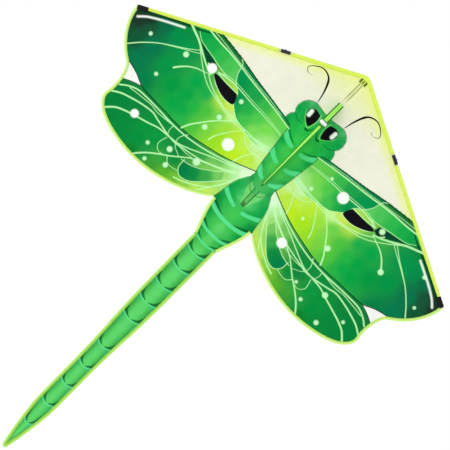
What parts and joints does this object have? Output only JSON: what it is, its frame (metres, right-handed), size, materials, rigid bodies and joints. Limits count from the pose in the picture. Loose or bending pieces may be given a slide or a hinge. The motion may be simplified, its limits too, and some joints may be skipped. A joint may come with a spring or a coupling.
{
  "type": "dragonfly delta kite",
  "caption": "Dragonfly-shaped delta kite: printed sail on a light rod frame, a fabric keel with a tow loop, and a long segmented ribbon tail that bends.",
  "frame": {"origin": "centre of the tow loop's eye, where the flying line is tied", "axes": "+Z from tail to nose, +X to the viewer's right facing the printed side, -Y the way the printed side and the keel face"},
  "size_m": [1.2004, 0.1394, 1.447],
  "materials": {
    "sail_print": "printed polyester taffeta, greens on cream",
    "lime_binding": "lime polyester binding tape, stitched",
    "neon_sleeve": "neon yellow-green polyester",
    "keel_fabric": "lime ripstop polyester",
    "black_webbing": "black woven reinforcement cloth",
    "white_webbing": "white woven webbing",
    "fibreglass_rod": "pultruded white fibreglass, satin",
    "vinyl_black": "soft black vinyl, satin"
  },
  "bodies": {
    "center_frame": {"body_panel": "sail_print", "nose_hem": "neon_sleeve", "nose_patch": "black_webbing", "nose_pocket": "black_webbing", "spine_spar": "fibreglass_rod", "spine_top_cap": "vinyl_black", "spine_bottom_cap": "vinyl_black", "spine_sleeve": "lime_binding", "spine_end_pocket": "black_webbing", "spine_end_patch": "lime_binding", "keel_seam_tape": "lime_binding"},
    "left_wing": {"left_sail": "sail_print", "left_leading_sleeve_inner": "neon_sleeve", "left_leading_sleeve_outer": "neon_sleeve", "left_tip_pocket": "black_webbing", "left_leading_spar": "fibreglass_rod", "left_spar_nose_cap": "vinyl_black", "left_spar_tip_cap": "vinyl_black", "left_connector": "vinyl_black", "left_trailing_binding": "lime_binding", "left_waist_binding": "lime_binding"},
    "right_wing": {"right_sail": "sail_print", "right_leading_sleeve_inner": "neon_sleeve", "right_leading_sleeve_outer": "neon_sleeve", "right_tip_pocket": "black_webbing", "right_leading_spar": "fibreglass_rod", "right_spar_nose_cap": "vinyl_black", "right_spar_tip_cap": "vinyl_black", "right_connector": "vinyl_black", "right_trailing_binding": "lime_binding", "right_waist_binding": "lime_binding"},
    "spreader": {"spreader_rod": "fibreglass_rod", "spreader_left_cap": "vinyl_black", "spreader_right_cap": "vinyl_black"},
    "keel": {"keel_panel": "keel_fabric", "keel_front_binding": "keel_fabric", "keel_rear_binding": "keel_fabric", "tow_loop": "white_webbing"},
    "tail_upper": {"tail_upper_panel": "sail_print", "tail_upper_left_binding": "lime_binding", "tail_upper_right_binding": "lime_binding", "tail_seam_tape": "lime_binding"},
    "tail_lower": {"tail_lower_panel": "sail_print", "tail_lower_left_binding": "lime_binding", "tail_lower_right_binding": "lime_binding"}
  },
  "joints": [
    {"name": "left_wing_fold", "type": "hinge", "parent": "center_frame", "child": "left_wing", "pos_m": [-0.016, 0.118, 0.195], "axis": [0.0386, 0, 0.9993], "range_deg": [0, 85]},
    {"name": "right_wing_fold", "type": "hinge", "parent": "center_frame", "child": "right_wing", "pos_m": [0.016, 0.118, 0.195], "axis": [-0.0386, 0, 0.9993], "range_deg": [-85, 0]},
    {"name": "keel_swing", "type": "hinge", "parent": "center_frame", "child": "keel", "pos_m": [0, 0.1166, 0], "axis": [0, 0, 1], "range_deg": [-50, 50]},
    {"name": "spreader_release", "type": "slide", "parent": "center_frame", "child": "spreader", "axis": [0, 1, 0], "range_m": [0, 0.08]},
    {"name": "tail_root_bend", "type": "hinge", "parent": "center_frame", "child": "tail_upper", "pos_m": [0, 0.118, -0.453], "axis": [1, 0, 0], "range_deg": [-60, 60]},
    {"name": "tail_seam_bend", "type": "hinge", "parent": "tail_upper", "child": "tail_lower", "pos_m": [0, 0.118, -0.788], "axis": [1, 0, 0], "range_deg": [-60, 60]}
  ]
}
